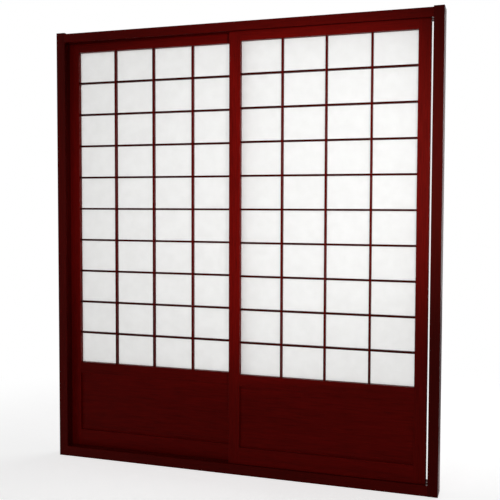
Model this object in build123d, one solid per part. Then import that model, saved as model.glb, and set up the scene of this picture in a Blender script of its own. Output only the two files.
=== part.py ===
from build123d import *
import os

# A pair of shoji panels on two parallel tracks, in their own timber frame.
# X runs along the tracks, Y from the front face to the back, Z up from the sill's underside.
# X = 0 is the middle of the frame's width and Y = 0 the middle of its depth. Sizes are in mm.

# Outer frame
FRAME_W = 1860.0
FRAME_H = 2083.0
JAMB_FACE = 45.0
JAMB_HORN = 5.0
HEAD_FACE = 41.0
SILL_FACE = 47.0
EDGE_ROUND = 1.2

# Tracks: two grooves with a fillet between them, the same in head and sill
TONGUE_T = 18.0
TONGUE_FIT = 1.0
PANEL_T = 28.0
PANEL_GAP = 4.0
TRACK_LIP = 17.0
HEAD_GROOVE_D = 15.0
SILL_GROOVE_D = 3.0
HEAD_LIFT_ROOM = 6.0
SHOULDER_TOP_GAP = 5.0
SHOULDER_SILL_GAP = 1.0

# Closing channels in the jambs
CHANNEL_D = 5.0
CHANNEL_FIT = 1.0
CHANNEL_END_FIT = 1.0
MEETING_OVERLAP = 40.0
FRONT_STANDOFF = 9.0

# Frame joints
FRAME_TENON_L = 10.0
FRAME_TENON_INSET_Y = 12.0
FRAME_TENON_EDGE = 3.0
SILL_TENON_RISE = 10.0
SCREW_SHANK_R = 2.2
SCREW_HEAD_R = 4.6
SCREW_HEAD_H = 3.2
SCREW_SINK = 0.8
SCREW_RIM_H = 0.5
SCREW_INTO_END = 38.0
SCREW_INSET_Y = 25.0

# Panel frames
STILE_FACE = 54.0
TOP_RAIL_FACE = 53.0
MID_RAIL_FACE = 54.0
BOTTOM_RAIL_FACE = 82.0
KICK_SIGHT_H = 286.0
RAIL_TENON_T = 9.0
RAIL_TENON_SET = 10.0
RAIL_TENON_L = 36.0
RAIL_TENON_EDGE = 8.0
RAIL_TENON_PAST_CUT = 3.0

# Lattice
UPRIGHTS = 3
CROSS_BARS = 9
BAR_W = 9.0
BAR_D = 17.0
BAR_TENON_D = 10.0
BAR_TENON_L = 8.0
BAR_ROUND = 0.4

# Paper and its beads, in a rebate cut from the back
PAPER_T = 0.4
REBATE_W = 8.0
REBATE_D = 7.0
PAPER_EDGE_FIT = 0.5
BEAD_EDGE_CUT = 1.5

# Kick panel
KICK_T = 6.0
KICK_GROOVE_D = 8.0
KICK_EDGE_FIT = 1.0
KICK_SET = 11.0

# Values that follow from the ones above
GROOVE_W = TONGUE_T + 2 * TONGUE_FIT
TRACK_PITCH = PANEL_T + PANEL_GAP
FRAME_D = 2 * TRACK_LIP + TRACK_PITCH + GROOVE_W
TRACK_Y = {"front": -TRACK_PITCH / 2, "rear": TRACK_PITCH / 2}
CLEAR_W = FRAME_W - 2 * JAMB_FACE
JAMB_IN = CLEAR_W / 2
SILL_TOP = SILL_FACE
HEAD_TOP = FRAME_H - JAMB_HORN
SOFFIT = HEAD_TOP - HEAD_FACE
CHANNEL_ENGAGE = CHANNEL_D - CHANNEL_END_FIT
PANEL_W = (CLEAR_W + 2 * CHANNEL_ENGAGE + MEETING_OVERLAP) / 2
PANEL_Z0 = SILL_TOP - SILL_GROOVE_D
HEAD_FLOOR = SOFFIT + HEAD_GROOVE_D
PANEL_Z1 = HEAD_FLOOR - HEAD_LIFT_ROOM
SHOULDER_Z0 = SILL_TOP + SHOULDER_SILL_GAP
SHOULDER_Z1 = SOFFIT - SHOULDER_TOP_GAP
PANEL_CX = {
    "front": JAMB_IN - FRONT_STANDOFF - PANEL_W / 2,
    "rear": -JAMB_IN - CHANNEL_ENGAGE + PANEL_W / 2,
}
KICK_Z0 = PANEL_Z0 + BOTTOM_RAIL_FACE
KICK_Z1 = KICK_Z0 + KICK_SIGHT_H
LIGHT_Z0 = KICK_Z1 + MID_RAIL_FACE
LIGHT_Z1 = PANEL_Z1 - TOP_RAIL_FACE
LIGHT_W = PANEL_W - 2 * STILE_FACE
CELL_W = (LIGHT_W - UPRIGHTS * BAR_W) / (UPRIGHTS + 1)
CELL_H = (LIGHT_Z1 - LIGHT_Z0 - CROSS_BARS * BAR_W) / (CROSS_BARS + 1)
BACK_SET = PANEL_T - REBATE_D
SCREW_Y = FRAME_D / 2 - SCREW_INSET_Y
HEAD_TENON = (HEAD_FLOOR + FRAME_TENON_EDGE, HEAD_TOP - FRAME_TENON_EDGE)
SILL_TENON = (SILL_TENON_RISE, PANEL_Z0 - FRAME_TENON_EDGE)


def block(x0, x1, y0, y1, z0, z1):
    """A box between two opposite corners."""
    return Pos((x0 + x1) / 2, (y0 + y1) / 2, (z0 + z1) / 2) * Box(x1 - x0, y1 - y0, z1 - z0)


# Frame joints: blind stub tenons on head and sill, each driven up tight by two screws
def frame_tenon(side, z0, z1):
    """The stub tenon that seats in a jamb's mortise."""
    y = FRAME_D / 2 - FRAME_TENON_INSET_Y
    x0, x1 = sorted((side * JAMB_IN, side * (JAMB_IN + FRAME_TENON_L)))
    return block(x0, x1, -y, y, z0, z1)


def screw_places():
    """The corners of the frame as side, tenon middle height and Y of each screw."""
    for side in (-1, 1):
        for z in (sum(HEAD_TENON) / 2, sum(SILL_TENON) / 2):
            for y in (-SCREW_Y, SCREW_Y):
                yield side, z, y


def screw_body(face_x):
    """A countersunk wood screw's outline turned about X, its head run out to face_x."""
    end_x = JAMB_FACE - SCREW_SINK + SCREW_INTO_END
    outline = Polyline(
        (face_x, 0), (face_x, SCREW_HEAD_R), (SCREW_RIM_H, SCREW_HEAD_R),
        (SCREW_HEAD_H, SCREW_SHANK_R), (end_x, SCREW_SHANK_R), (end_x, 0), (face_x, 0),
    )
    return revolve(make_face(outline), Axis.X)


def placed_screw(shape, side, z, y):
    """A screw or its seat, driven through a jamb's outer face towards the middle."""
    turned = shape if side < 0 else Rot(0, 180, 0) * shape
    return Pos(side * (FRAME_W / 2 - SCREW_SINK), y, z) * turned


# Head and sill: the same two grooves, deep in the head's soffit and shallow in the sill's top
def track_cut(track, z0, z1):
    """One groove of the head or sill, open at both ends."""
    y = TRACK_Y[track]
    return block(-JAMB_IN - 1, JAMB_IN + 1, y - GROOVE_W / 2, y + GROOVE_W / 2, z0, z1)


def rail_of_frame(z0, z1, tenon, groove):
    """A head or sill: eased body, two grooves, two tenons and the screws' pilot holes."""
    half = FRAME_D / 2
    body = block(-JAMB_IN, JAMB_IN, -half, half, z0, z1)
    body = fillet(body.edges().filter_by(Axis.X), EDGE_ROUND)
    for track in TRACK_Y:
        body -= track_cut(track, *groove)
    for side in (-1, 1):
        body += frame_tenon(side, *tenon)
    for side, z, y in screw_places():
        if z0 < z < z1:
            body -= placed_screw(SEAT, side, z, y)
    return body


SEAT = screw_body(-SCREW_SINK)
head = rail_of_frame(SOFFIT, HEAD_TOP, HEAD_TENON, (SOFFIT - 1, HEAD_FLOOR))
sill = rail_of_frame(0, SILL_TOP, SILL_TENON, (PANEL_Z0, SILL_TOP + 1))


# Jambs: full height, mortised for head and sill, with one closing channel each
def jamb(side, track):
    """A jamb, its mortises, its channel and the run of the track's grooves into it."""
    half = FRAME_D / 2
    x0, x1 = sorted((side * JAMB_IN, side * FRAME_W / 2))
    body = block(x0, x1, -half, half, 0, FRAME_H)
    body = fillet(body.edges().filter_by(Axis.Z), EDGE_ROUND)
    body -= frame_tenon(side, *HEAD_TENON)
    body -= frame_tenon(side, *SILL_TENON)
    c0, c1 = sorted((side * (JAMB_IN - 1), side * (JAMB_IN + CHANNEL_D)))
    y = TRACK_Y[track]
    wide = PANEL_T / 2 + CHANNEL_FIT
    body -= block(c0, c1, y - wide, y + wide, SILL_TOP, SOFFIT)
    body -= block(c0, c1, y - GROOVE_W / 2, y + GROOVE_W / 2, PANEL_Z0, HEAD_FLOOR)
    for place, z, screw_y in screw_places():
        if place == side:
            body -= placed_screw(SEAT, side, z, screw_y)
    return body


left_jamb = jamb(-1, "rear")
right_jamb = jamb(1, "front")
SCREW = screw_body(0)
frame_screws = Compound(children=[placed_screw(SCREW, *place) for place in screw_places()])


# Panel pieces, drawn about a panel's own middle X and front face, then set on the track
LIGHT_X = LIGHT_W / 2
PANEL_X = PANEL_W / 2
GROOVE_BITE = KICK_GROOVE_D - KICK_EDGE_FIT
TONGUE_SET = (PANEL_T - TONGUE_T) / 2
LAP_D = BAR_D / 2
BAR_FRONT = BACK_SET - BAR_D
TENON_FRONT = BACK_SET - (BAR_D + BAR_TENON_D) / 2


def upright_x(i):
    """The middle of upright bar i, counted from the left."""
    return -LIGHT_X + (i + 1) * CELL_W + (i + 0.5) * BAR_W


def cross_z(i):
    """The middle height of cross bar i, counted from the bottom."""
    return LIGHT_Z0 + (i + 1) * CELL_H + (i + 0.5) * BAR_W


def panel_edge_cuts():
    """What is cut from the panel's top and bottom, front and back, to leave the tongues."""
    wide = PANEL_X + 1
    cuts = []
    for z0, z1 in ((PANEL_Z0 - 1, SHOULDER_Z0), (SHOULDER_Z1, PANEL_Z1 + 1)):
        cuts.append(block(-wide, wide, -1, TONGUE_SET, z0, z1))
        cuts.append(block(-wide, wide, TONGUE_SET + TONGUE_T, PANEL_T + 1, z0, z1))
    return cuts


def paper_rebate():
    """The step behind the lattice that takes the paper and its beads."""
    x = LIGHT_X + REBATE_W
    return block(-x, x, BACK_SET, PANEL_T + 1, LIGHT_Z0 - REBATE_W, LIGHT_Z1 + REBATE_W)


def kick_groove():
    """The groove round the kick panel, in stiles and rails."""
    x = LIGHT_X + KICK_GROOVE_D
    return block(
        -x, x, KICK_SET, KICK_SET + KICK_T, KICK_Z0 - KICK_GROOVE_D, KICK_Z1 + KICK_GROOVE_D
    )


def rail_tenon(side, z0, z1):
    """The stub tenon of a panel rail in its stile."""
    x0, x1 = sorted((side * LIGHT_X, side * (LIGHT_X + RAIL_TENON_L)))
    return block(x0, x1, RAIL_TENON_SET, RAIL_TENON_SET + RAIL_TENON_T, z0, z1)


def bar_tenon_x(side, z):
    """The stub tenon at one end of a cross bar."""
    x0, x1 = sorted((side * LIGHT_X, side * (LIGHT_X + BAR_TENON_L)))
    return block(
        x0, x1, TENON_FRONT, TENON_FRONT + BAR_TENON_D, z - BAR_W / 2, z + BAR_W / 2
    )


def bar_tenon_z(x, z0, z1):
    """The stub tenon at one end of an upright bar."""
    return block(
        x - BAR_W / 2, x + BAR_W / 2, TENON_FRONT, TENON_FRONT + BAR_TENON_D, z0, z1
    )


# Each rail's bottom and top, then its tenons' bottom and top, clear of tongues and grooves
RAILS = {
    "top_rail": (
        LIGHT_Z1, PANEL_Z1, LIGHT_Z1 + RAIL_TENON_EDGE, SHOULDER_Z1 - RAIL_TENON_PAST_CUT
    ),
    "mid_rail": (
        KICK_Z1, LIGHT_Z0,
        KICK_Z1 + KICK_GROOVE_D + RAIL_TENON_PAST_CUT, LIGHT_Z0 - RAIL_TENON_EDGE,
    ),
    "bottom_rail": (
        PANEL_Z0, KICK_Z0,
        SHOULDER_Z0 + RAIL_TENON_PAST_CUT, KICK_Z0 - KICK_GROOVE_D - RAIL_TENON_PAST_CUT,
    ),
}


def stile(side):
    """A stile with its tongues, mortises, kick-panel groove and paper rebate."""
    x0, x1 = sorted((side * LIGHT_X, side * PANEL_X))
    body = block(x0, x1, 0, PANEL_T, PANEL_Z0, PANEL_Z1)
    outer = [e for e in body.edges().filter_by(Axis.Z) if abs(e.center().X - side * PANEL_X) < 0.01]
    body = fillet(outer, EDGE_ROUND)
    for cut in panel_edge_cuts():
        body -= cut
    for _, _, z0, z1 in RAILS.values():
        body -= rail_tenon(side, z0, z1)
    for i in range(CROSS_BARS):
        body -= bar_tenon_x(side, cross_z(i))
    body -= kick_groove()
    return body - paper_rebate()


def rail(name):
    """A rail between the stiles, with its tenons and the mortises of the upright bars."""
    z0, z1, t0, t1 = RAILS[name]
    body = block(-LIGHT_X, LIGHT_X, 0, PANEL_T, z0, z1)
    for cut in panel_edge_cuts():
        body -= cut
    body -= kick_groove()
    body -= paper_rebate()
    for i in range(UPRIGHTS):
        if name == "top_rail":
            body -= bar_tenon_z(upright_x(i), z0, z0 + BAR_TENON_L)
        if name == "mid_rail":
            body -= bar_tenon_z(upright_x(i), z1 - BAR_TENON_L, z1)
    for side in (-1, 1):
        body += rail_tenon(side, t0, t1)
    return body


def upright_bar(i):
    """An upright bar, notched from the front at each cross bar."""
    x = upright_x(i)
    w = BAR_W / 2
    body = block(x - w, x + w, BAR_FRONT, BACK_SET, LIGHT_Z0, LIGHT_Z1)
    front = [e for e in body.edges().filter_by(Axis.Z) if abs(e.center().Y - BAR_FRONT) < 0.01]
    body = chamfer(front, BAR_ROUND)
    for k in range(CROSS_BARS):
        z = cross_z(k)
        body -= block(x - w - 1, x + w + 1, BAR_FRONT - 1, BAR_FRONT + LAP_D, z - w, z + w)
    body += bar_tenon_z(x, LIGHT_Z0 - BAR_TENON_L, LIGHT_Z0)
    return body + bar_tenon_z(x, LIGHT_Z1, LIGHT_Z1 + BAR_TENON_L)


def cross_bar(k):
    """A cross bar, notched from the back at each upright bar."""
    z = cross_z(k)
    w = BAR_W / 2
    body = block(-LIGHT_X, LIGHT_X, BAR_FRONT, BACK_SET, z - w, z + w)
    front = [e for e in body.edges().filter_by(Axis.X) if abs(e.center().Y - BAR_FRONT) < 0.01]
    body = chamfer(front, BAR_ROUND)
    for i in range(UPRIGHTS):
        x = upright_x(i)
        body -= block(x - w, x + w, BAR_FRONT + LAP_D, BACK_SET + 1, z - w - 1, z + w + 1)
    for side in (-1, 1):
        body += bar_tenon_x(side, z)
    return body


PAPER_X = LIGHT_X + REBATE_W - PAPER_EDGE_FIT
PAPER_Z0 = LIGHT_Z0 - REBATE_W + PAPER_EDGE_FIT
PAPER_Z1 = LIGHT_Z1 + REBATE_W - PAPER_EDGE_FIT


def paper_sheet():
    """The paper, glued to the backs of the bars and to the rebate's step."""
    return block(-PAPER_X, PAPER_X, BACK_SET, BACK_SET + PAPER_T, PAPER_Z0, PAPER_Z1)


BEADS = ("bottom", "right", "top", "left")
BEAD_T = PANEL_T - BACK_SET - PAPER_T


def bead(edge):
    """One mitred bead of the four that hold the paper, its inner back edge taken off."""
    x, z0, z1 = LIGHT_X + REBATE_W, LIGHT_Z0 - REBATE_W, LIGHT_Z1 + REBATE_W
    outer = [(-x, z0), (x, z0), (x, z1), (-x, z1)]
    x, z0, z1 = LIGHT_X, LIGHT_Z0, LIGHT_Z1
    inner = [(-x, z0), (x, z0), (x, z1), (-x, z1)]
    a = BEADS.index(edge)
    b = (a + 1) % 4
    corners = [(px, BACK_SET + PAPER_T, pz) for px, pz in (outer[a], outer[b], inner[b], inner[a])]
    strip = extrude(make_face(Polyline(*corners, corners[0])), BEAD_T, dir=(0, 1, 0))
    middle = Vector((inner[a][0] + inner[b][0]) / 2, PANEL_T, (inner[a][1] + inner[b][1]) / 2)
    arris = [e for e in strip.edges() if (e.center() - middle).length < 0.01]
    return chamfer(arris, BEAD_EDGE_CUT)


def kick_panel():
    """The flat board in the grooves below the lattice."""
    x = LIGHT_X + GROOVE_BITE
    return block(
        -x, x, KICK_SET, KICK_SET + KICK_T, KICK_Z0 - GROOVE_BITE, KICK_Z1 + GROOVE_BITE
    )


def panel_pieces():
    """Every piece of one panel by name."""
    yield "left_stile", stile(-1)
    yield "right_stile", stile(1)
    for name in RAILS:
        yield name, rail(name)
    yield "kick_panel", kick_panel()
    for i in range(UPRIGHTS):
        yield f"upright_bar_{i + 1}", upright_bar(i)
    for k in range(CROSS_BARS):
        yield f"cross_bar_{k + 1}", cross_bar(k)
    yield "paper", paper_sheet()
    for edge in BEADS:
        yield f"bead_{edge}", bead(edge)


os.makedirs("parts", exist_ok=True)
export_step(head, "parts/head.step")
export_step(sill, "parts/sill.step")
export_step(left_jamb, "parts/left_jamb.step")
export_step(right_jamb, "parts/right_jamb.step")
export_step(frame_screws, "parts/frame_screws.step")
for node, shape in panel_pieces():
    for track, y in TRACK_Y.items():
        placed = Pos(PANEL_CX[track], y - PANEL_T / 2, 0) * shape
        export_step(placed, f"parts/{track}_{node}.step")
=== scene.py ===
import math

import bpy
import numpy as np
from mathutils import Matrix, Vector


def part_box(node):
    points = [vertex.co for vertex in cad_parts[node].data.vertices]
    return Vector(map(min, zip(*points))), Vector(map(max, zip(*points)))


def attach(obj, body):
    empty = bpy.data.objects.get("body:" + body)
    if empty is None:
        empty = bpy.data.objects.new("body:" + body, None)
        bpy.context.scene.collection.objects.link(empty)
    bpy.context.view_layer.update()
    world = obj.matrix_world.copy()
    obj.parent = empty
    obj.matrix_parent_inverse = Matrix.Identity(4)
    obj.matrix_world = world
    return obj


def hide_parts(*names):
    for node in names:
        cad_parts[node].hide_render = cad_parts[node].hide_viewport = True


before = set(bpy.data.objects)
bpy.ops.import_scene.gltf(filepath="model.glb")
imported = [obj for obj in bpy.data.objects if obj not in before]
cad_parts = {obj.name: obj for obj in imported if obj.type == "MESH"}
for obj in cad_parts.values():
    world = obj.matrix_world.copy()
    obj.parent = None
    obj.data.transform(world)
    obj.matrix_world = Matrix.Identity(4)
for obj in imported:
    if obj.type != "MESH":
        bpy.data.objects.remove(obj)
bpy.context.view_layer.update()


# Camera. It stands to the right of the frame and just above half its height, turned left
# and tipped slightly down, so that both panels show with the right one nearer.
EYE = (1.2211, -3.2611, 1.2216)
TURN_LEFT = 0.2985
TIP_DOWN = 0.0452
ROLL = 0.0050
FOCAL_LENGTH = 54.1
SENSOR_WIDTH = 36.0
SHIFT_X = -0.0655
SHIFT_Y = -0.0093

lens = bpy.data.cameras.new("photo_camera")
lens.sensor_width = SENSOR_WIDTH
lens.lens = FOCAL_LENGTH
lens.shift_x = SHIFT_X
lens.shift_y = SHIFT_Y
camera = bpy.data.objects.new("photo_camera", lens)
bpy.context.collection.objects.link(camera)
camera.matrix_world = (
    Matrix.Translation(EYE)
    @ Matrix.Rotation(TURN_LEFT, 4, "Z")
    @ Matrix.Rotation(math.pi / 2 - TIP_DOWN, 4, "X")
    @ Matrix.Rotation(ROLL, 4, "Z")
)
bpy.context.scene.camera = camera
bpy.context.scene.view_settings.view_transform = "Standard"


# Studio. A pale floor runs out to a white surround. A spot from the front right is strongest
# on the upper middle, a wide lamp fills from the front, and another one lights the back.
FLOOR_REACH = 9.0
FLOOR_GREY = 0.80
FLOOR_ROUGHNESS = 0.9
FLOOR_LIFT = 0.70
WHITE_FROM, WHITE_TO = 1.0, 2.6
SURROUND_FILL = 0.15
KEY_AT = (2.28, -3.18, 1.85)
KEY_AIM = (0.24, 0.0, 1.36)
KEY_CONE = 30.0
KEY_SOURCE = 0.06
KEY_WATTS = 545.0
FRONT_AT = (0.3, -4.4, 1.4)
FRONT_AIM = (0.0, 0.0, 1.1)
FRONT_WATTS = 31.0
BACK_AT = (1.4, 2.6, 1.7)
BACK_AIM = (0.1, 0.0, 1.35)
BACK_WATTS = 36.0
WIDE_LAMP = 2.4
FLAG_LEFT, FLAG_RIGHT = 1.05, 3.4
FLAG_FOOT, FLAG_TOP = 0.02, 3.0
FLAG_BEHIND = 0.5
FLAG_BLACK = (0.004, 0.004, 0.004, 1)


def bare_material(name):
    """An empty node material: returns it, its nodes, its links and its output node."""
    material = bpy.data.materials.new(name)
    material.use_nodes = True
    nodes = material.node_tree.nodes
    nodes.clear()
    return material, nodes, material.node_tree.links, nodes.new("ShaderNodeOutputMaterial")


def flat_sheet(name, corners):
    """A single flat face between four corners, in order round its edge."""
    mesh = bpy.data.meshes.new(name)
    mesh.from_pydata(corners, [], [(0, 1, 2, 3)])
    sheet = bpy.data.objects.new(name, mesh)
    bpy.context.collection.objects.link(sheet)
    return sheet


def plug(links, socket, value):
    """Feeds a socket: links it to another socket, or sets it to a number or a colour."""
    if isinstance(value, bpy.types.NodeSocket):
        links.new(value, socket)
    else:
        socket.default_value = value


def add_math(nodes, links, operation, first, second=0.0):
    """A Math node's value of two sockets or numbers."""
    node = nodes.new("ShaderNodeMath")
    node.operation = operation
    plug(links, node.inputs[0], first)
    plug(links, node.inputs[1], second)
    return node.outputs[0]


def add_blend(nodes, links, share, first, second):
    """A Mix Shader of two shaders, its share a socket or a number."""
    node = nodes.new("ShaderNodeMixShader")
    for socket, value in zip(node.inputs, (share, first, second)):
        plug(links, socket, value)
    return node.outputs[0]


def add_seen_directly(nodes, links):
    """A value of 1 where a camera, glossy or transmission ray looks, and 0 elsewhere."""
    path = nodes.new("ShaderNodeLightPath")
    seen = path.outputs["Is Camera Ray"]
    for ray in ("Is Glossy Ray", "Is Transmission Ray"):
        seen = add_math(nodes, links, "MAXIMUM", seen, path.outputs[ray])
    return seen


floor = flat_sheet("floor", [
    (-FLOOR_REACH, -FLOOR_REACH, 0.0), (FLOOR_REACH, -FLOOR_REACH, 0.0),
    (FLOOR_REACH, FLOOR_REACH, 0.0), (-FLOOR_REACH, FLOOR_REACH, 0.0),
])
floor_paint, nodes, links, output = bare_material("floor_paint")
matt = nodes.new("ShaderNodeBsdfPrincipled")
matt.inputs["Base Color"].default_value = (FLOOR_GREY, FLOOR_GREY, FLOOR_GREY, 1)
matt.inputs["Roughness"].default_value = FLOOR_ROUGHNESS
matt.inputs["Specular IOR Level"].default_value = 0.0
lift = nodes.new("ShaderNodeEmission")
lift.inputs["Strength"].default_value = FLOOR_LIFT
lifted = nodes.new("ShaderNodeAddShader")
links.new(matt.outputs[0], lifted.inputs[0])
links.new(lift.outputs[0], lifted.inputs[1])
white = nodes.new("ShaderNodeEmission")
place = nodes.new("ShaderNodeTexCoord")
distance = nodes.new("ShaderNodeVectorMath")
distance.operation = "LENGTH"
links.new(place.outputs["Object"], distance.inputs[0])
fade = nodes.new("ShaderNodeMapRange")
fade.interpolation_type = "SMOOTHSTEP"
fade.inputs["From Min"].default_value = WHITE_FROM
fade.inputs["From Max"].default_value = WHITE_TO
links.new(distance.outputs["Value"], fade.inputs["Value"])
near_or_far = add_blend(
    nodes, links, fade.outputs["Result"], lifted.outputs[0], white.outputs[0]
)
paint = add_blend(nodes, links, add_seen_directly(nodes, links), matt.outputs[0], near_or_far)
links.new(paint, output.inputs["Surface"])
floor.data.materials.append(floor_paint)

surround = bpy.data.worlds.new("surround")
bpy.context.scene.world = surround
surround.use_nodes = True
nodes, links = surround.node_tree.nodes, surround.node_tree.links
nodes.clear()
fill = nodes.new("ShaderNodeBackground")
fill.inputs["Strength"].default_value = SURROUND_FILL
backdrop = nodes.new("ShaderNodeBackground")
backdrop.inputs["Color"].default_value = (1, 1, 1, 1)
backdrop.inputs["Strength"].default_value = 1.0
light = add_blend(
    nodes, links, add_seen_directly(nodes, links), fill.outputs[0], backdrop.outputs[0]
)
output = nodes.new("ShaderNodeOutputWorld")
links.new(light, output.inputs["Surface"])


def hang_lamp(name, kind, power, at, towards):
    """A lamp of a kind and power in watts, placed at a point and turned to face another."""
    lamp = bpy.data.lights.new(name, kind)
    lamp.energy = power
    holder = bpy.data.objects.new(name, lamp)
    bpy.context.collection.objects.link(holder)
    holder.location = at
    aim = np.subtract(towards, at)
    level = math.hypot(aim[0], aim[1])
    holder.rotation_euler = (math.atan2(level, -aim[2]), 0, math.atan2(-aim[0], aim[1]))
    holder.visible_camera = False
    return lamp


key = hang_lamp("key_lamp", "SPOT", KEY_WATTS, KEY_AT, KEY_AIM)
key.spot_size = math.radians(KEY_CONE)
key.spot_blend = 1.0
key.shadow_soft_size = KEY_SOURCE
hang_lamp("front_fill", "AREA", FRONT_WATTS, FRONT_AT, FRONT_AIM).size = WIDE_LAMP
hang_lamp("back_lamp", "AREA", BACK_WATTS, BACK_AT, BACK_AIM).size = WIDE_LAMP

# A black studio flag stands off to the right, a little behind. Only reflections see it, and
# it keeps the white surround from glazing the jamb's side where that is seen almost edge on.
flag = flat_sheet("flag", [
    (FLAG_LEFT, FLAG_BEHIND, FLAG_FOOT), (FLAG_RIGHT, FLAG_BEHIND, FLAG_FOOT),
    (FLAG_RIGHT, FLAG_BEHIND, FLAG_TOP), (FLAG_LEFT, FLAG_BEHIND, FLAG_TOP),
])
flag.visible_camera = False
flag.visible_diffuse = False
flag.visible_transmission = False
flag.visible_shadow = False
flag_cloth, nodes, links, output = bare_material("flag_cloth")
cloth = nodes.new("ShaderNodeBsdfPrincipled")
cloth.inputs["Base Color"].default_value = FLAG_BLACK
cloth.inputs["Roughness"].default_value = 1.0
cloth.inputs["Specular IOR Level"].default_value = 0.0
links.new(cloth.outputs["BSDF"], output.inputs["Surface"])
flag.data.materials.append(flag_cloth)


# Jambs. The two uprights of the outer frame are solid timber, planed, eased along their
# edges, stained a deep red-brown and finished with a satin lacquer. Their grain runs up.
STAIN_DEEP = (0.078, 0.0010, 0.0007)
STAIN_BRIGHT = (0.160, 0.0027, 0.0018)
STAIN_PORE = (0.040, 0.0008, 0.0006)
STAIN_RUBBED = (0.235, 0.0070, 0.0045)
PORE_SHARE = 0.45
RUBBED_SHARE = 0.22
GRAIN_STRETCH = 0.045
GRAIN_SHIFT = (1.0, 1.7, 0.6)
RING_NOISE = (5.5, 2.0, 0.5)
FIBRE_NOISE, FIBRE_LIMITS = (240.0, 4.0), (0.30, 0.70)
PORE_NOISE, PORE_LIMITS = (620.0, 1.0), (0.60, 0.70)
ARRIS_RADIUS = 0.0012
ARRIS_SAMPLES = 6
WEAR_LIMITS = (0.995, 0.80)
LACQUER_ROUGHNESS = (0.49, 0.37)
LACQUER_SHINE = 0.12
LACQUER_TINT = (1.0, 0.22, 0.17, 1)
RELIEF_STRENGTH, RELIEF_DEPTH = 0.25, 0.0003
# The right jamb is the same timber as the left, stained darker as painted shade.
LEFT_JAMB_SHADE, RIGHT_JAMB_PAINTED_SHADE = 0.56, 0.3808
FLOAT, VECTOR = "NodeSocketFloat", "NodeSocketVector"


def new_group(name, inputs, outputs):
    """A shader node group with the named sockets: returns it and its two end nodes."""
    group = bpy.data.node_groups.new(name, "ShaderNodeTree")
    for in_out, sockets in (("INPUT", inputs), ("OUTPUT", outputs)):
        for label, kind in sockets:
            group.interface.new_socket(name=label, in_out=in_out, socket_type=kind)
    return group, group.nodes.new("NodeGroupInput"), group.nodes.new("NodeGroupOutput")


def add_noise(nodes, links, vector, scale, detail, distortion=0.0):
    """A Noise Texture's value over a vector, with its scale, detail and distortion."""
    node = nodes.new("ShaderNodeTexNoise")
    node.inputs["Scale"].default_value = scale
    node.inputs["Detail"].default_value = detail
    node.inputs["Distortion"].default_value = distortion
    links.new(vector, node.inputs["Vector"])
    return node.outputs["Fac"]


def add_range(nodes, links, value, low, high, to_low=0.0, to_high=1.0):
    """A clamped Map Range of a value from low..high to to_low..to_high."""
    node = nodes.new("ShaderNodeMapRange")
    node.inputs["From Min"].default_value = low
    node.inputs["From Max"].default_value = high
    node.inputs["To Min"].default_value = to_low
    node.inputs["To Max"].default_value = to_high
    links.new(value, node.inputs["Value"])
    return node.outputs["Result"]


# Grain: figure is the sine of a slow noise, so its bands are the growth rings cut by the
# face; fibre is fine noise; pores are where a finer noise passes a limit.
timber_grain, entry, leave = new_group(
    "timber_grain",
    [("Vector", VECTOR), ("Rings", FLOAT)],
    [("Figure", FLOAT), ("Fibre", FLOAT), ("Pores", FLOAT)],
)
nodes, links = timber_grain.nodes, timber_grain.links
slow = add_noise(nodes, links, entry.outputs["Vector"], *RING_NOISE)
turns = add_math(nodes, links, "MULTIPLY", slow, entry.outputs["Rings"])
wave = add_math(nodes, links, "SINE", turns)
links.new(add_range(nodes, links, wave, -1.0, 1.0), leave.inputs["Figure"])
fine = add_noise(nodes, links, entry.outputs["Vector"], *FIBRE_NOISE)
links.new(add_range(nodes, links, fine, *FIBRE_LIMITS), leave.inputs["Fibre"])
dashes = add_noise(nodes, links, entry.outputs["Vector"], *PORE_NOISE)
links.new(add_range(nodes, links, dashes, *PORE_LIMITS), leave.inputs["Pores"])

# Worn edges: the surface normal averaged over a small radius leans away from the true one
# near an arris. That normal rounds the edge for the light, and the lean is the wear mask.
worn_edges, entry, leave = new_group(
    "worn_edges", [("Radius", FLOAT)], [("Mask", FLOAT), ("Normal", VECTOR)]
)
nodes, links = worn_edges.nodes, worn_edges.links
rounded = nodes.new("ShaderNodeBevel")
rounded.samples = ARRIS_SAMPLES
links.new(entry.outputs["Radius"], rounded.inputs["Radius"])
true_normal = nodes.new("ShaderNodeNewGeometry")
lean = nodes.new("ShaderNodeVectorMath")
lean.operation = "DOT_PRODUCT"
links.new(rounded.outputs["Normal"], lean.inputs[0])
links.new(true_normal.outputs["True Normal"], lean.inputs[1])
links.new(add_range(nodes, links, lean.outputs["Value"], *WEAR_LIMITS), leave.inputs["Mask"])
links.new(rounded.outputs["Normal"], leave.inputs["Normal"])


def add_group(nodes, group, **values):
    """A node that holds a shared group, with the given input values."""
    node = nodes.new("ShaderNodeGroup")
    node.node_tree = group
    for label, value in values.items():
        node.inputs[label].default_value = value
    return node


def add_mix(nodes, links, share, first, second):
    """A colour mix: share is a socket, each side a socket or a colour."""
    node = nodes.new("ShaderNodeMix")
    node.data_type = "RGBA"
    links.new(share, node.inputs[0])
    for socket, value in zip((node.inputs[6], node.inputs[7]), (first, second)):
        plug(links, socket, (*value, 1) if isinstance(value, tuple) else value)
    return node.outputs[2]


def add_bump(nodes, links, height, strength, depth):
    """A Bump node over a height, with its strength and its depth in metres."""
    node = nodes.new("ShaderNodeBump")
    node.inputs["Strength"].default_value = strength
    node.inputs["Distance"].default_value = depth
    links.new(height, node.inputs["Height"])
    return node


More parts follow.
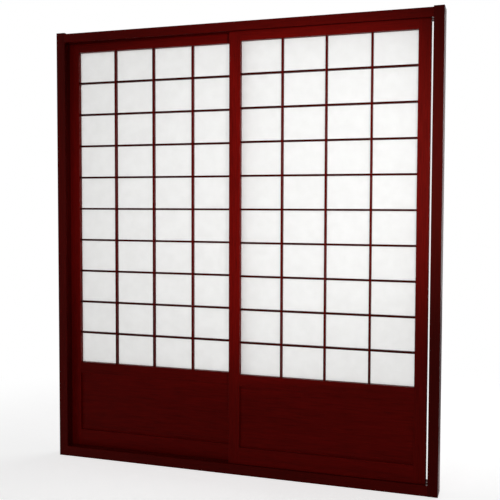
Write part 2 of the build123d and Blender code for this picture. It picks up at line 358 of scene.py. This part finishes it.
def stained_timber(
    name, along, shift, rings=26.0, figured=0.35, radius=ARRIS_RADIUS, shade=1.0, lighter_crossings=None
):
    """Stained and lacquered timber with its grain along X or Z.

    The pattern is read from the object's own coordinates, squeezed along the grain so that
    fibres come out about twenty times longer than wide, and shifted so that pieces differ.
    Its tone is figured parts of the figure and the rest of the fibre, and shade scales its
    stain: that is the piece's own tone for some pieces, painted shade for the right jamb and
    the bars, and painted light for one stile. lighter_crossings gives the middles in X, the
    half width and the gain of the stretches at the crossings, where a cross bar is painted as
    lightly shaded as the uprights.
    """
    material, nodes, links, output = bare_material(name)
    place = nodes.new("ShaderNodeTexCoord")
    squeeze = nodes.new("ShaderNodeMapping")
    squeeze.inputs["Scale"].default_value = {
        "X": (GRAIN_STRETCH, 1, 1), "Z": (1, 1, GRAIN_STRETCH)
    }[along]
    squeeze.inputs["Location"].default_value = tuple(shift * step for step in GRAIN_SHIFT)
    links.new(place.outputs["Object"], squeeze.inputs["Vector"])
    grain = add_group(nodes, timber_grain, Rings=rings)
    links.new(squeeze.outputs["Vector"], grain.inputs["Vector"])
    worn = add_group(nodes, worn_edges, Radius=radius)

    figure = add_math(nodes, links, "MULTIPLY", grain.outputs["Figure"], figured)
    fibre = add_math(nodes, links, "MULTIPLY", grain.outputs["Fibre"], 1.0 - figured)
    tone = add_math(nodes, links, "ADD", figure, fibre)
    deep = tuple(c * shade for c in STAIN_DEEP)
    bright = tuple(c * shade for c in STAIN_BRIGHT)
    stain = add_mix(nodes, links, tone, deep, bright)
    pores = add_math(nodes, links, "MULTIPLY", grain.outputs["Pores"], PORE_SHARE)
    stain = add_mix(nodes, links, pores, stain, STAIN_PORE)
    rubbed = add_math(nodes, links, "MULTIPLY", worn.outputs["Mask"], RUBBED_SHARE)
    stain = add_mix(nodes, links, rubbed, stain, STAIN_RUBBED)

    # Painted shade: at the uprights the cross bar's stain is raised to their painted shade.
    if lighter_crossings:
        middles, half, gain = lighter_crossings
        split = nodes.new("ShaderNodeSeparateXYZ")
        links.new(place.outputs["Object"], split.inputs[0])
        inside = 0.0
        for middle in middles:
            off = add_math(nodes, links, "SUBTRACT", split.outputs["X"], float(middle))
            off = add_math(nodes, links, "ABSOLUTE", off)
            near = add_math(nodes, links, "LESS_THAN", off, half)
            inside = add_math(nodes, links, "ADD", near, inside)
        lighter = nodes.new("ShaderNodeVectorMath")
        lighter.operation = "SCALE"
        links.new(stain, lighter.inputs[0])
        lighter.inputs["Scale"].default_value = gain
        stain = add_mix(nodes, links, inside, stain, lighter.outputs[0])

    lacquer = nodes.new("ShaderNodeBsdfPrincipled")
    links.new(stain, lacquer.inputs["Base Color"])
    gloss = add_range(nodes, links, grain.outputs["Fibre"], 0.0, 1.0, *LACQUER_ROUGHNESS)
    links.new(gloss, lacquer.inputs["Roughness"])
    lacquer.inputs["Specular IOR Level"].default_value = LACQUER_SHINE
    lacquer.inputs["Specular Tint"].default_value = LACQUER_TINT
    relief = add_math(nodes, links, "SUBTRACT", grain.outputs["Fibre"], grain.outputs["Pores"])
    bump = add_bump(nodes, links, relief, RELIEF_STRENGTH, RELIEF_DEPTH)
    links.new(worn.outputs["Normal"], bump.inputs["Normal"])
    links.new(bump.outputs["Normal"], lacquer.inputs["Normal"])
    links.new(lacquer.outputs["BSDF"], output.inputs["Surface"])
    return material


def finish_nodes(material, *names):
    """Gives carried-over CAD pieces their finish."""
    for name in names:
        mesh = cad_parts[name].data
        mesh.materials.clear()
        mesh.materials.append(material)


finish_nodes(stained_timber("left_jamb_timber", "Z", 3.1, shade=LEFT_JAMB_SHADE), "left_jamb")
# Painted shade: the right jamb is stained darker than the left one.
finish_nodes(stained_timber("right_jamb_timber", "Z", 7.4, shade=RIGHT_JAMB_PAINTED_SHADE), "right_jamb")


# Head and sill. The two tracks are the same timber with the grain along the frame. Each has
# two ploughed grooves, deep in the head so that a panel can be lifted out, shallow below.
HEAD_SHADE, SILL_SHADE = 0.80, 0.62
finish_nodes(stained_timber("head_timber", "X", 1.3, shade=HEAD_SHADE), "head")
finish_nodes(stained_timber("sill_timber", "X", 5.9, shade=SILL_SHADE), "sill")


# Panel frames. Each panel has two full-height stiles and three rails tenoned into them, all
# 28 mm thick and sanded flush, so the joints show only as the turn of the grain. The rear
# panel's left stile is stained lighter, as painted light.
REAR_STILE_PAINTED_LIGHT = 1.15
for panel, shift, left_painted_light in (("front", 11.0, 1.0), ("rear", 17.3, REAR_STILE_PAINTED_LIGHT)):
    finish_nodes(
        stained_timber(f"{panel}_left_stile_timber", "Z", shift, shade=left_painted_light),
        f"{panel}_left_stile",
    )
    finish_nodes(
        stained_timber(f"{panel}_right_stile_timber", "Z", shift + 1.9), f"{panel}_right_stile"
    )
    finish_nodes(
        stained_timber(f"{panel}_rail_timber", "X", shift + 3.3),
        *(f"{panel}_{rail}_rail" for rail in ("top", "mid", "bottom")),
    )


# Lattice. Three upright and nine cross bars in each panel are 9 mm wide and 17 mm deep,
# half-lapped flush at every crossing and stub-tenoned into the panel's frame. Their stain is
# darkened as painted shade, the cross bars' most, and at each crossing the cross bar is
# painted as light as the uprights, as if these ran on through it.
UPRIGHTS, CROSS_BARS = 3, 9
BAR_ARRIS = 0.0007
# Painted shade: the bars' stain is darkened for the shade in the lattice.
UPRIGHT_PAINTED_SHADE, CROSS_PAINTED_SHADE = 0.62, 0.22


def bar_centres(panel, kind, count, axis):
    """The middles of a panel's bars of one kind along X or Z, read from their own boxes."""
    boxes = [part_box(f"{panel}_{kind}_{number + 1}") for number in range(count)]
    return np.sort([(low[axis] + high[axis]) / 2 for low, high in boxes])


upright_timber = stained_timber(
    "upright_bar_timber", "Z", 21.7, radius=BAR_ARRIS, shade=UPRIGHT_PAINTED_SHADE
)
for panel in ("front", "rear"):
    low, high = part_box(f"{panel}_upright_bar_1")
    cross_timber = stained_timber(
        f"{panel}_cross_bar_timber", "X", 23.9, radius=BAR_ARRIS, shade=CROSS_PAINTED_SHADE,
        lighter_crossings=(
            bar_centres(panel, "upright_bar", UPRIGHTS, 0), (high[0] - low[0]) / 2,
            UPRIGHT_PAINTED_SHADE / CROSS_PAINTED_SHADE,
        ),
    )
    finish_nodes(upright_timber, *(f"{panel}_upright_bar_{i + 1}" for i in range(UPRIGHTS)))
    finish_nodes(cross_timber, *(f"{panel}_cross_bar_{k + 1}" for k in range(CROSS_BARS)))


# Kick panels. A flat 6 mm board closes the foot of each panel, held loose in grooves on all
# four sides so that it can shrink and swell. It is close-grained, with a faint figure.
KICK_RINGS = 38.0
KICK_FIGURED = 0.15
for panel, shift in (("front", 31.0), ("rear", 35.4)):
    finish_nodes(
        stained_timber(
            f"{panel}_kick_timber", "X", shift, rings=KICK_RINGS, figured=KICK_FIGURED
        ),
        f"{panel}_kick_panel",
    )


# Beads. Four mitred strips behind the lattice hold the paper's edges in its rebate. They
# are the frame's timber, a little darker from the stain, with the inner back edge taken off.
BEAD_SHADE = 0.84
for panel in ("front", "rear"):
    for bead, along, shift, sides in (
        ("side", "Z", 41.0, ("left", "right")), ("end", "X", 43.0, ("top", "bottom")),
    ):
        finish_nodes(
            stained_timber(
                f"{panel}_{bead}_bead_timber", along, shift, radius=BAR_ARRIS, shade=BEAD_SHADE
            ),
            *(f"{panel}_bead_{side}" for side in sides),
        )


# Paper. One sheet of laminated shoji paper per panel is stretched and glued to the backs of
# the bars. Long fibres lie in it at random, and light from behind shows its clouded pulp.
PAPER_WHITE = (0.90, 0.898, 0.890)
PAPER_BRIGHT = (0.945, 0.943, 0.935)
PAPER_THIN = (0.850, 0.850, 0.846)
PAPER_THICK = (0.806, 0.804, 0.798)
PAPER_PASSES = 0.87
PAPER_ROUGHNESS = 0.75
PAPER_SHINE = 0.15
PAPER_RELIEF, PAPER_RELIEF_DEPTH = 0.18, 0.0002
PULP_NOISE, PULP_LIMITS, PULP_SHARE = (26.0, 4.0), (0.35, 0.65), 0.55
ONE_WAY = (0.9, (1, 1, 0.06), 520.0)
OTHER_WAY = (-0.5, (0.06, 1, 1), 480.0)
LONG_FIBRE_DETAIL, LONG_FIBRE_WANDER = 1.0, 0.4
LONG_FIBRE_LIMITS, LONG_FIBRE_SHARE = (0.62, 0.74), 0.45
PAPER_COLUMNS, PAPER_ROWS = 97, 181
CELL_SLACK = 0.00035
SLACK_MEAN, SLACK_SWING = 0.6, 0.4
STEP_BY_COLUMN, STEP_BY_ROW = 2.1, 3.7
COCKLE = 0.00012
COCKLE_LENGTH, COCKLE_HEIGHT = 0.034, 0.0442
COCKLE_SLANT = 5.0

shoji_paper, nodes, links, output = bare_material("shoji_paper")
place = nodes.new("ShaderNodeTexCoord")
cloud = add_noise(nodes, links, place.outputs["Object"], *PULP_NOISE)


def add_long_fibres(nodes, links, vector, turn, stretch, scale):
    """A mask of fibres lying one way: noise drawn out along a turned axis, past a limit."""
    tilt = nodes.new("ShaderNodeMapping")
    tilt.inputs["Rotation"].default_value = (0, turn, 0)
    tilt.inputs["Scale"].default_value = stretch
    links.new(vector, tilt.inputs["Vector"])
    drawn = add_noise(
        nodes, links, tilt.outputs["Vector"], scale, LONG_FIBRE_DETAIL, LONG_FIBRE_WANDER
    )
    return add_range(nodes, links, drawn, *LONG_FIBRE_LIMITS)


fibres = add_math(
    nodes, links, "MAXIMUM",
    add_long_fibres(nodes, links, place.outputs["Object"], *ONE_WAY),
    add_long_fibres(nodes, links, place.outputs["Object"], *OTHER_WAY),
)
pulp = add_range(nodes, links, cloud, *PULP_LIMITS)
density = add_math(
    nodes, links, "ADD",
    add_math(nodes, links, "MULTIPLY", pulp, PULP_SHARE),
    add_math(nodes, links, "MULTIPLY", fibres, LONG_FIBRE_SHARE),
)
sheet_face = nodes.new("ShaderNodeBsdfPrincipled")
tint = add_mix(nodes, links, fibres, PAPER_WHITE, PAPER_BRIGHT)
links.new(tint, sheet_face.inputs["Base Color"])
sheet_face.inputs["Roughness"].default_value = PAPER_ROUGHNESS
sheet_face.inputs["Specular IOR Level"].default_value = PAPER_SHINE
bump = add_bump(nodes, links, density, PAPER_RELIEF, PAPER_RELIEF_DEPTH)
links.new(bump.outputs["Normal"], sheet_face.inputs["Normal"])
through = nodes.new("ShaderNodeBsdfTranslucent")
glow = add_mix(nodes, links, density, PAPER_THIN, PAPER_THICK)
links.new(glow, through.inputs["Color"])
both = add_blend(nodes, links, PAPER_PASSES, sheet_face.outputs[0], through.outputs[0])
links.new(both, output.inputs["Surface"])


def closed_slab(name, x, z, front, back):
    """A thin closed slab between two height fields over the grid x by z.

    front and back hold the Y of the two faces at every grid point. Each quad joins four
    neighbouring points, and a strip of quads closes the rim between the two faces.
    """
    across, up = len(x), len(z)
    grid_x, grid_z = np.meshgrid(x, z, indexing="ij")
    points = np.concatenate([
        np.stack([grid_x, y, grid_z], axis=-1).reshape(-1, 3) for y in (front, back)
    ])
    index = np.arange(across * up).reshape(across, up)
    quads = np.stack([index[:-1, :-1], index[1:, :-1], index[1:, 1:], index[:-1, 1:]], axis=-1)
    quads = quads.reshape(-1, 4)
    rim = np.concatenate([index[:-1, 0], index[-1, :-1], index[:0:-1, -1], index[0, :0:-1]])
    ahead = np.roll(rim, -1)
    behind = across * up
    strip = np.stack([ahead, rim, rim + behind, ahead + behind], axis=-1)
    faces = np.concatenate([quads, quads[:, ::-1] + behind, strip])
    mesh = bpy.data.meshes.new(name)
    mesh.from_pydata(points.tolist(), [], faces.tolist())
    mesh.polygons.foreach_set("use_smooth", np.arange(len(faces)) < 2 * len(quads))
    slab = bpy.data.objects.new(name, mesh)
    bpy.context.collection.objects.link(slab)
    return slab


def cell_bulge(position, lines, low, high):
    """How far a point lies inside its cell, and which cell that is.

    The bulge is the squared sine of the point's share of the way from one line to the next,
    0 on the lines and 1 midway. Outside low..high, where the sheet is clamped, it is 0.
    """
    edges = np.concatenate([[low], lines, [high]])
    cell = np.clip(np.searchsorted(edges, position, side="right") - 1, 0, len(edges) - 2)
    share = (position - edges[cell]) / (edges[cell + 1] - edges[cell])
    return np.where((share > 0) & (share < 1), np.sin(np.pi * share) ** 2, 0.0), cell


def sheet_lean(x, z, columns, rows):
    """How far the sheet stands back from the bars over the grid x by z.

    Between the bars it slackens by CELL_SLACK times the cell's bulge times a share, which is
    SLACK_MEAN plus SLACK_SWING times the sine of a step that grows with the cell's column
    and row. Cockles lie over that: COCKLE times the bulge's square root, so that they die
    out at the bars, times one plus a sine along X times a cosine along Z slanting with X.
    """
    (across, column), (up, row) = columns, rows
    bulge = across[:, None] * up[None, :]
    step = STEP_BY_COLUMN * column[:, None] + STEP_BY_ROW * row[None, :]
    slack = SLACK_MEAN + SLACK_SWING * np.sin(step)
    wave = np.sin(2 * np.pi * x / COCKLE_LENGTH)[:, None] * np.cos(
        2 * np.pi * z / COCKLE_HEIGHT + COCKLE_SLANT * x[:, None]
    )
    return CELL_SLACK * slack * bulge + COCKLE * (1 + wave) * np.sqrt(bulge)


for panel in ("front", "rear"):
    low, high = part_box(f"{panel}_paper")
    x = np.linspace(low[0], high[0], PAPER_COLUMNS)
    z = np.linspace(low[2], high[2], PAPER_ROWS)
    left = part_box(f"{panel}_left_stile")[1][0]
    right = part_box(f"{panel}_right_stile")[0][0]
    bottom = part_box(f"{panel}_mid_rail")[1][2]
    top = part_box(f"{panel}_top_rail")[0][2]
    lean = sheet_lean(
        x, z,
        cell_bulge(x, bar_centres(panel, "upright_bar", UPRIGHTS, 0), left, right),
        cell_bulge(z, bar_centres(panel, "cross_bar", CROSS_BARS, 2), bottom, top),
    )
    sheet = closed_slab(f"{panel}_paper_sheet", x, z, low[1] + lean, high[1] + lean)
    sheet.data.materials.append(shoji_paper)
    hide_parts(f"{panel}_paper")
    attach(sheet, f"{panel}_panel")


# Frame screws. Eight zinc-plated countersunk screws pull the jambs up to the head and sill.
# Only their heads can be seen, in the jambs' outer faces, each with its cross recess.
ZINC_DULL = (0.50, 0.49, 0.46)
ZINC_BRIGHT = (0.64, 0.63, 0.58)
ZINC_ROUGHNESS = (0.28, 0.42)
MOTTLE_NOISE, MOTTLE_LIMITS = (900.0, 3.0), (0.3, 0.7)
HEAD_R, SHANK_R = 0.0046, 0.0022
RIM, CONE_END = 0.0005, 0.0032
HEAD_DISH = 0.00012
SCREW_LENGTH = 0.0822
TIP_FROM, TIP_R = 0.9 * SCREW_LENGTH, 0.15 * SHANK_R
RECESS_DEPTH, RECESS_REACH = 0.0021, 0.0026
RECESS_ARM = 0.00065
RECESS_WALL = 0.35 * RECESS_ARM
RECESS_TAPER = 1.25
FINE_RINGS, FINE_TO = 25, 0.68
COARSE_RINGS, COARSE_FROM = 8, 0.72
AROUND = 96
SCREW_FROM_MIDDLE = 0.018
FIRST_TURN, NEXT_TURN = 0.3, 0.9
SHARP_FROM = 35.0

screw_zinc, nodes, links, output = bare_material("screw_zinc")
place = nodes.new("ShaderNodeTexCoord")
mottle = add_noise(nodes, links, place.outputs["Object"], *MOTTLE_NOISE)
metal = nodes.new("ShaderNodeBsdfPrincipled")
metal.inputs["Metallic"].default_value = 1.0
spangle = add_range(nodes, links, mottle, *MOTTLE_LIMITS)
links.new(add_mix(nodes, links, spangle, ZINC_DULL, ZINC_BRIGHT), metal.inputs["Base Color"])
dullness = add_range(nodes, links, mottle, *MOTTLE_LIMITS, *ZINC_ROUGHNESS)
links.new(dullness, metal.inputs["Roughness"])
links.new(metal.outputs["BSDF"], output.inputs["Surface"])


def smooth_step(value):
    """0 below 0, 1 above 1, and 3 v squared less 2 v cubed between them."""
    value = np.clip(value, 0.0, 1.0)
    return value * value * (3 - 2 * value)


def cross_recess(a, b):
    """How deep the driver's cross is cut at a point (a, b) of the head.

    An arm is full depth along its middle, and its wall falls over RECESS_WALL about its
    half width. It gets shallower towards its end. The cross is the deeper of the two arms.
    """
    def arm(along, side):
        """One arm's depth at a point along it and to its side, as a share of the whole."""
        wall = smooth_step((RECESS_ARM - np.abs(side)) / RECESS_WALL + 0.5)
        return wall * smooth_step(RECESS_TAPER * (1 - np.abs(along) / RECESS_REACH))
    return RECESS_DEPTH * np.maximum(arm(a, b), arm(b, a))


def screw_points(turn):
    """Points of one screw about +X, its head's middle at the origin and its shank inwards.

    Rings run from the head's centre out over its face, down the rim and the countersink,
    along the shank and in to the tip. The face is dished by a cosine of the radius, and the
    cross is cut into it. Returns the points and how many rings there are.
    """
    face = HEAD_R * np.concatenate([
        np.linspace(0.0, FINE_TO, FINE_RINGS + 1)[1:],
        np.linspace(COARSE_FROM, 1.0, COARSE_RINGS),
    ])
    body = np.array([
        (RIM, HEAD_R), (CONE_END, SHANK_R), (TIP_FROM, SHANK_R), (SCREW_LENGTH, TIP_R)
    ])
    radius = np.concatenate([face, body[:, 1]])
    depth = np.concatenate([HEAD_DISH * np.cos(np.pi * face / (2 * HEAD_R)), body[:, 0]])
    angle = np.linspace(0, 2 * np.pi, AROUND, endpoint=False)
    a = radius[:, None] * np.cos(angle)
    b = radius[:, None] * np.sin(angle)
    cut = cross_recess(a, b) * (np.arange(len(radius)) < len(face))[:, None]
    along = depth[:, None] + cut
    y = a * math.cos(turn) - b * math.sin(turn)
    z = a * math.sin(turn) + b * math.cos(turn)
    rings = np.stack([along, y, z], axis=-1).reshape(-1, 3)
    ends = np.array([(HEAD_DISH + RECESS_DEPTH, 0, 0), (SCREW_LENGTH, 0, 0)])
    return np.concatenate([rings, ends]), len(radius)


def screw_faces(rings):
    """Quads between neighbouring rings, and a fan of triangles at each end."""
    index = np.arange(rings * AROUND).reshape(rings, AROUND)
    ahead = np.roll(index, -1, axis=1)
    quads = np.stack([index[:-1], ahead[:-1], ahead[1:], index[1:]], axis=-1).reshape(-1, 4)
    centre, tip = rings * AROUND, rings * AROUND + 1
    first = np.stack([np.full(AROUND, centre), ahead[0], index[0]], axis=-1)
    last = np.stack([index[-1], ahead[-1], np.full(AROUND, tip)], axis=-1)
    return quads, np.concatenate([first, last])


screw_low, screw_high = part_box("frame_screws")
seats = [
    (side, z, y)
    for side in (-1, 1)
    for z in (screw_low[2] + HEAD_R, screw_high[2] - HEAD_R)
    for y in (-SCREW_FROM_MIDDLE, SCREW_FROM_MIDDLE)
]
points, faces = [], []
for number, (side, z, y) in enumerate(seats):
    screw, rings = screw_points(FIRST_TURN + NEXT_TURN * number)
    points.append(screw * (-side, 1, 1) + (side * screw_high[0], y, z))
    outward = 1 if side < 0 else -1
    for shape in screw_faces(rings):
        faces += (shape + number * len(screw))[:, ::outward].tolist()
mesh = bpy.data.meshes.new("cross_head_screws")
mesh.from_pydata(np.concatenate(points).tolist(), [], faces)
mesh.shade_smooth()
mesh.set_sharp_from_angle(angle=math.radians(SHARP_FROM))
screws = bpy.data.objects.new("cross_head_screws", mesh)
bpy.context.collection.objects.link(screws)
screws.data.materials.append(screw_zinc)
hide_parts("frame_screws")
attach(screws, "frame")
